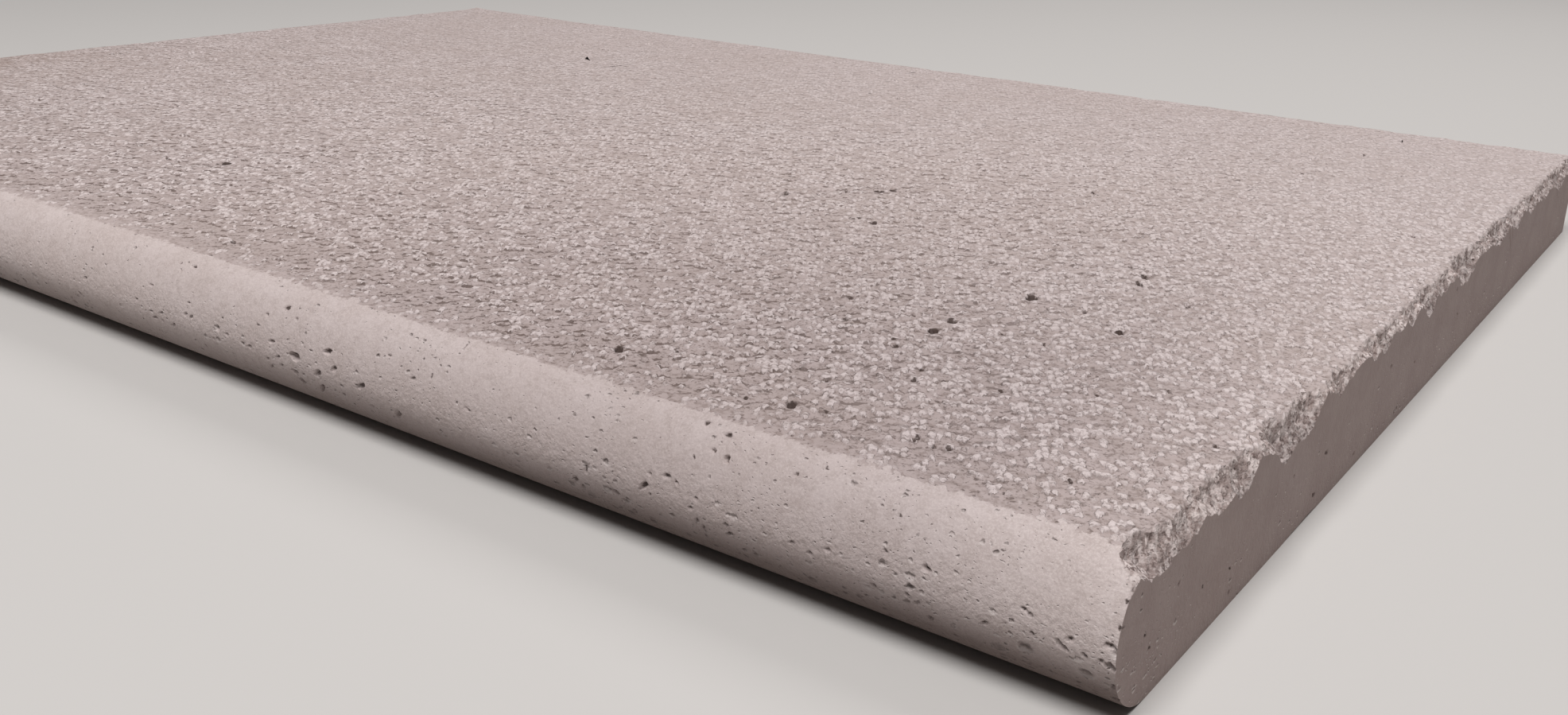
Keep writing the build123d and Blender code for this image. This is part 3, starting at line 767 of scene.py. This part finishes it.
# nothing stands outside the slab's section or its box
nv = len(me.vertices)
co = np.zeros(nv * 3, np.float32)
me.vertices.foreach_get("co", co)
co = co.reshape(-1, 3).astype(float) / MM
edge = 0.0005
co[:, 0] = np.clip(co[:, 0], -XE + edge, XE - edge)
co[:, 1] = np.clip(co[:, 1], YF + edge, YB - edge)
co[:, 2] = np.clip(co[:, 2], edge, THICK - edge)
ahead_y = np.minimum(co[:, 1] - YN, 0.0)
radius = np.hypot(ahead_y, co[:, 2] - R)
squeeze = np.where((ahead_y < 0) & (radius > R - edge), (R - edge) / np.maximum(radius, 1e-9), 1.0)
co[:, 1] = np.where(ahead_y < 0, YN + ahead_y * squeeze, co[:, 1])
co[:, 2] = np.where(ahead_y < 0, R + (co[:, 2] - R) * squeeze, co[:, 2])
me.vertices.foreach_set("co", (co * MM).astype(np.float32).ravel())
me.update()

# smooth faces, with a crisp line where two faces of the slab meet or the stone is broken
kind = np.zeros(len(me.polygons), np.int32)
me.polygons.foreach_get("material_index", kind)
me.polygons.foreach_set("use_smooth", np.ones(len(me.polygons), bool))
edge_of = np.zeros(len(me.loops), np.int32)
me.loops.foreach_get("edge_index", edge_of)
corner_of = np.zeros(len(me.loops), np.int32)
me.loops.foreach_get("vertex_index", corner_of)
total = np.zeros(len(me.polygons), np.int32)
me.polygons.foreach_get("loop_total", total)
facing = np.zeros(len(me.polygons) * 3, np.float32)
me.polygons.foreach_get("normal", facing)
facing = facing.reshape(-1, 3)
face_of = np.repeat(np.arange(len(kind)), total)
lo = np.full(len(me.edges), 99)
hi = np.full(len(me.edges), -1)
np.minimum.at(lo, edge_of, kind[face_of])
np.maximum.at(hi, edge_of, kind[face_of])
low_face = np.full(len(me.edges), len(kind))
high_face = np.full(len(me.edges), -1)
np.minimum.at(low_face, edge_of, face_of)
np.maximum.at(high_face, edge_of, face_of)
turned = (facing[low_face] * facing[high_face]).sum(1) < math.cos(math.radians(42))
ends = np.zeros(len(me.edges) * 2, np.int32)
me.edges.foreach_get("vertices", ends)
ends = ends.reshape(-1, 2)
chip_at = np.zeros(nv, np.float32)
me.attributes["chip"].data.foreach_get("value", chip_at)
pit_at = np.zeros(nv, np.float32)
me.attributes["pit"].data.foreach_get("value", pit_at)
crisp = me.attributes.get("sharp_edge") or me.attributes.new("sharp_edge", "BOOLEAN", "EDGE")
crisp.data.foreach_set("value", (lo != hi) | (turned & (chip_at[ends].max(1) > 0.2)))
for name, which in (("side", kind > 0), ("end", kind == 1), ("back", kind == 2)):
    me.attributes.new(name, "FLOAT", "FACE").data.foreach_set("value", which.astype(np.float32))

# flat faces and the honed nose are shaded as the true flat and the true round wherever they are whole
ideal = np.zeros((len(corner_of), 3))
corner_kind = kind[face_of]
corner_facing = facing[face_of]
corner = co[corner_of]
ideal[corner_kind == 1, 0] = np.sign(corner[corner_kind == 1, 0])
ideal[corner_kind == 2, 1] = 1.0
ideal[corner_kind == 3, 2] = -1.0
radius = np.hypot(corner[:, 1] - YN, corner[:, 2] - R)
round_part = (corner_kind == 0) & (corner[:, 1] < YN - 0.2) & (radius > R - 0.06)
ideal[round_part, 1] = (corner[round_part, 1] - YN) / radius[round_part]
ideal[round_part, 2] = (corner[round_part, 2] - R) / radius[round_part]
ideal[(ideal * corner_facing).sum(1) < math.cos(math.radians(14))] = 0.0
me.polygons.foreach_set("material_index", np.zeros(len(kind), np.int32))
me.materials.clear()
me.normals_split_custom_set(ideal.tolist())

# ----------------------------------------------------------------- materials
stone = bpy.data.materials.new("travertine")
stone.use_nodes = True
tree = stone.node_tree
tree.nodes.clear()
n = Nodes(tree)
out = n.new("ShaderNodeOutputMaterial")
bsdf = n.new("ShaderNodeBsdfPrincipled")
tree.links.new(bsdf.outputs[0], out.inputs[0])
coords = n.new("ShaderNodeTexCoord")
p = n.vec("SCALE", coords.outputs["Object"], scale=1000.0)
sp = n.xyz(p)
h, flake, crease = hammered(n, p)
a_pit = n.new("ShaderNodeAttribute", attribute_name="pit").outputs["Fac"]
a_side = n.new("ShaderNodeAttribute", attribute_name="side").outputs["Fac"]
a_end = n.new("ShaderNodeAttribute", attribute_name="end").outputs["Fac"]
a_back = n.new("ShaderNodeAttribute", attribute_name="back").outputs["Fac"]
a_chip = n.mul(n.new("ShaderNodeAttribute", attribute_name="chip").outputs["Fac"], n.sub(1.0, a_side))

# where the hammered face is: above the honed curve of the nose, and not on an end, the back or below
bend = n.math("MAXIMUM", n.sub(YN, sp[1]), 0.0)
circle = n.sub(R, n.math("SQRT", n.math("MAXIMUM", n.sub(R * R, n.mul(bend, bend)), 0.0)))
fray = n.mul(n.sub(n.noise(p, 0.9, 3.0, 0.6), 0.5), 0.9)
is_top = n.mul(n.step(n.add(n.add(h, circle), fray), 0.12, -0.16), n.step(sp[2], 22.0, 27.0))
is_top = n.mul(is_top, n.sub(1.0, a_side))
is_top = n.mul(is_top, n.sub(1.0, a_chip))


def rgb(r, g, b):
    def lin(c):
        c = c / 255
        return c / 12.92 if c <= 0.04045 else ((c + 0.055) / 1.055) ** 2.4
    return (lin(r), lin(g), lin(b), 1.0)


def blend(fac, a, b, mode="MIX"):
    m = n.new("ShaderNodeMix", data_type="RGBA", blend_type=mode)
    n.put(m.inputs[0], fac)
    n.put(m.inputs[6], a)
    n.put(m.inputs[7], b)
    return m.outputs[2]


bare_face = n.math("MAXIMUM", is_top, a_chip)
smooth_face = n.sub(1.0, bare_face)
sawn = a_side
pitted = n.add(pit_share(n, p), n.mul(sawn, -0.22))
tiny, tiny_pit_shade, tiny_lip_highlight = small_pits(n, unrolled(n, p, a_end, a_back), pitted)
tiny = n.mul(tiny, n.sub(1.0, a_chip))
tiny_pit_shade = n.mul(tiny_pit_shade, n.sub(1.0, a_chip))

tone = n.noise(p, 0.016, 4.0, 0.6)
cloud = n.noise(p, 0.10, 4.0, 0.6)
speck = n.noise(p, 2.1, 3.0, 0.65)
honed = blend(n.step(cloud, 0.30, 0.70), rgb(189, 175, 172), rgb(199, 186, 184))
honed = blend(n.step(n.noise(p, 0.42, 3.0, 0.6), 0.54, 0.34, 0.0, 0.45), honed, rgb(172, 158, 154))
honed = blend(n.step(speck, 0.40, 0.70, 0.0, 0.65), honed, rgb(212, 200, 197))
# sawn ends, back and underside: a duller stone colour, darkened further as painted shade
sawn_shaded = blend(n.step(cloud, 0.30, 0.70), rgb(160, 142, 138), rgb(168, 151, 147))
honed = blend(sawn, honed, sawn_shaded)
matrix = blend(n.step(cloud, 0.30, 0.70), rgb(182, 168, 165), rgb(190, 176, 174))
# painted shade: soft dark smudges in the low matrix between the flakes
soft_shade = n.noise(p, 0.55, 3.0, 0.6)
matrix = blend(n.step(soft_shade, 0.54, 0.34, 0.0, 0.70), matrix, rgb(150, 135, 130))
# painted shade: small dark specks in the low matrix, fewer on the flakes, more towards the front right
speck_region = n.mul(n.line(sp[0], -80.0, 140.0), n.line(sp[1], 130.0, -60.0))
shade_speck_field = n.add(n.noise(p, 1.05, 2.0, 0.55), n.mul(speck_region, -0.045))
shade_specks = n.mul(n.step(shade_speck_field, 0.372, 0.28), n.sub(1.0, n.mul(flake, 0.50)))
matrix = blend(n.line(sp[1], -60.0, -150.0), matrix, (0.91, 0.90, 0.90, 1.0), "MULTIPLY")
light = blend(n.step(speck, 0.30, 0.72), rgb(201, 188, 186), rgb(217, 205, 204))
calm = n.mul(n.line(sp[1], -20.0, 190.0, 1.0, 0.50), n.line(sp[1], -170.0, -90.0, 1.18, 1.0))
rough_top = blend(n.math("MULTIPLY_ADD", n.sub(flake, 0.34), calm, 0.34), matrix, light)
# painted shade in the creases between the flakes and along the ledges
rough_top = blend(n.mul(crease, n.mul(calm, 0.80)), rough_top, rgb(104, 89, 84))
rough_top = blend(n.mul(shade_specks, n.mul(calm, 0.58)), rough_top, rgb(98, 84, 79))
streak = n.noise(n.vec("MULTIPLY", p, (0.5, 1.0, 0.25)), 1.1, 3.0, 0.65)
fresh = blend(n.step(n.noise(p, 0.50, 2.0, 0.55), 0.40, 0.62), rgb(158, 141, 137), rgb(217, 204, 201))
fresh = blend(n.step(speck, 0.40, 0.70, 0.0, 0.35), fresh, rgb(226, 214, 211))
fresh = blend(n.step(n.noise(p, 0.95, 2.0, 0.6), 0.47, 0.34, 0.0, 0.80), fresh, rgb(106, 88, 84))
fresh = blend(n.line(sp[2], 27.8, 23.4), fresh, (0.70, 0.69, 0.69, 1.0), "MULTIPLY")
low_half = n.line(sp[2], 27.0, 9.0)
# painted highlight on the lower lip of the small pits, stronger low on the nose
honed = blend(n.mul(tiny_lip_highlight, n.line(low_half, 0.0, 1.0, 0.30, 0.75)), honed, rgb(224, 214, 211))
colour = blend(is_top, honed, rough_top)
colour = blend(a_chip, colour, fresh)
colour = blend(n.step(tone, 0.36, 0.66, 0.0, 0.14), colour, rgb(168, 150, 142))
ragged = n.add(a_pit, n.mul(n.sub(n.noise(p, 1.3, 2.0, 0.6), 0.5), 0.9))
# painted shade on the lower part of the nose, darker towards the bottom and towards +X
shade_under_nose = n.mul(n.line(sp[2], 14.9, 6.0, 0.0, 0.78), n.line(sp[1], YN + 2.0, YN - 2.0))
shade_under_nose = n.math("MINIMUM", n.mul(shade_under_nose, n.line(sp[0], 40.0, 220.0, 0.80, 1.20)), 0.86)
colour = blend(n.mul(shade_under_nose, n.sub(1.0, a_side)), colour, rgb(98, 82, 76))
# painted shade darkening the top towards the front right corner
corner_shade = n.mul(n.mul(n.line(sp[0], 0.0, 200.0), n.line(sp[0], 306.0, 262.0)), n.line(sp[1], 30.0, -130.0))
corner_shade = n.mul(corner_shade, n.mul(n.sub(1.0, a_side), n.sub(1.0, a_chip)))
colour = blend(corner_shade, colour, (0.85, 0.84, 0.845, 1.0), "MULTIPLY")
# darker, browner patch towards the left front corner of the top
browner_left_corner = n.mul(n.mul(n.line(sp[0], -225.0, -300.0), n.line(sp[1], 10.0, -90.0)), n.step(n.noise(p, 0.05, 3.0, 0.6), 0.36, 0.60))
colour = blend(n.mul(browner_left_corner, 0.40), colour, rgb(140, 119, 108))
# painted shade in the pits: their hollows near black, the small pits darker on their upper half
pit_shade = n.math("MAXIMUM", n.mul(n.step(ragged, 0.34, 0.88), 0.93), n.mul(tiny_pit_shade, 0.80))
colour = blend(pit_shade, colour, rgb(66, 52, 47))
n.put(bsdf.inputs["Base Color"], colour)
rough = n.add(n.mul(bare_face, 0.20), 0.68)
n.put(bsdf.inputs["Roughness"], rough)
bsdf.inputs["IOR"].default_value = 1.48
bsdf.inputs["Specular IOR Level"].default_value = 0.30

grit = n.noise(p, 2.6, 3.0, 0.6)
peel = n.noise(p, 0.8, 3.0, 0.6)
lines = n.noise(n.vec("MULTIPLY", p, (1.0, 0.06, 0.06)), 0.9, 2.0, 0.6)
relief = n.mul(is_top, n.mul(n.add(h, 0.8), 0.70))
relief = n.add(relief, n.mul(n.sub(grit, 0.5), n.add(0.05, n.mul(bare_face, 0.11))))
peel = n.mul(n.sub(peel, 0.5), n.line(low_half, 0.0, 1.0, 0.30, 0.75))
relief = n.add(relief, n.mul(peel, smooth_face))
relief = n.add(relief, n.mul(n.mul(n.sub(lines, 0.5), 0.03), smooth_face))
relief = n.add(relief, n.mul(n.sub(n.noise(p, 0.75, 3.0, 0.55), 0.5), n.mul(a_chip, 1.15)))
relief = n.add(relief, n.mul(n.sub(streak, 0.5), n.mul(a_chip, 0.2)))
relief = n.sub(relief, tiny)
bump = n.new("ShaderNodeBump")
bump.inputs["Strength"].default_value = 0.8
bump.inputs["Distance"].default_value = MM
n.put(bump.inputs["Height"], relief)
tree.links.new(bump.outputs[0], bsdf.inputs["Normal"])
me.materials.append(stone)

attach(slab, "root")
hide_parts("coping")

# --------------------------------------------------------------------- stage
fm = bpy.data.meshes.new("floor")
fm.from_pydata([(-6, -6, 0), (6, -6, 0), (6, 6, 0), (-6, 6, 0)], [], [(0, 1, 2, 3)])
floor = bpy.data.objects.new("floor", fm)
bpy.context.scene.collection.objects.link(floor)
fmat = bpy.data.materials.new("floor")
fmat.use_nodes = True
fb = fmat.node_tree.nodes["Principled BSDF"]
fb.inputs["Base Color"].default_value = (0.53, 0.51, 0.495, 1)
fb.inputs["Roughness"].default_value = 0.9
fm.materials.append(fmat)

world = bpy.data.worlds.new("world")
bpy.context.scene.world = world
world.use_nodes = True
world.node_tree.nodes["Background"].inputs[0].default_value = (1.0, 0.93, 0.91, 1)
world.node_tree.nodes["Background"].inputs[1].default_value = 0.10


def area(name, place, aim, size, power, tint=(1, 1, 1)):
    data = bpy.data.lights.new(name, "AREA")
    data.shape = "RECTANGLE"
    data.size, data.size_y = size
    data.energy = power
    data.color = tint
    ob = bpy.data.objects.new(name, data)
    ob.location = place
    ob.rotation_euler = (Vector(aim) - Vector(place)).to_track_quat("-Z", "Y").to_euler()
    bpy.context.scene.collection.objects.link(ob)
    return ob


area("key", (0.30, -0.93, 2.30), (0, 0, 0), (1.2, 1.2), 60, (1.0, 0.995, 0.99))
area("back", (0.35, 1.20, 1.50), (0, 0, 0), (0.8, 0.8), 12, (1.0, 0.995, 0.99))

# -------------------------------------------------------------------- camera
cam_data = bpy.data.cameras.new("camera")
cam = bpy.data.objects.new("camera", cam_data)
bpy.context.scene.collection.objects.link(cam)
right = Vector((0.8210042814, 0.5701728954, 0.0292376353))
down = Vector((0.2096411655, -0.2534413818, -0.9443611850))
ahead = Vector((-0.5310391245, 0.7814539880, -0.3276081699))
turn = Matrix((right, -down, -ahead)).transposed()
cam.matrix_world = Matrix.Translation(Vector((0.379744, -0.390248, 0.137970))) @ turn.to_4x4()
cam_data.sensor_fit = "HORIZONTAL"
cam_data.sensor_width = 36.0
cam_data.lens = 1794.5 / 1972 * 36
cam_data.shift_x = -86.2 / 1972
cam_data.shift_y = -41.3 / 1972
cam_data.clip_start = 0.01
bpy.context.scene.camera = cam
bpy.context.scene.view_settings.view_transform = "Standard"
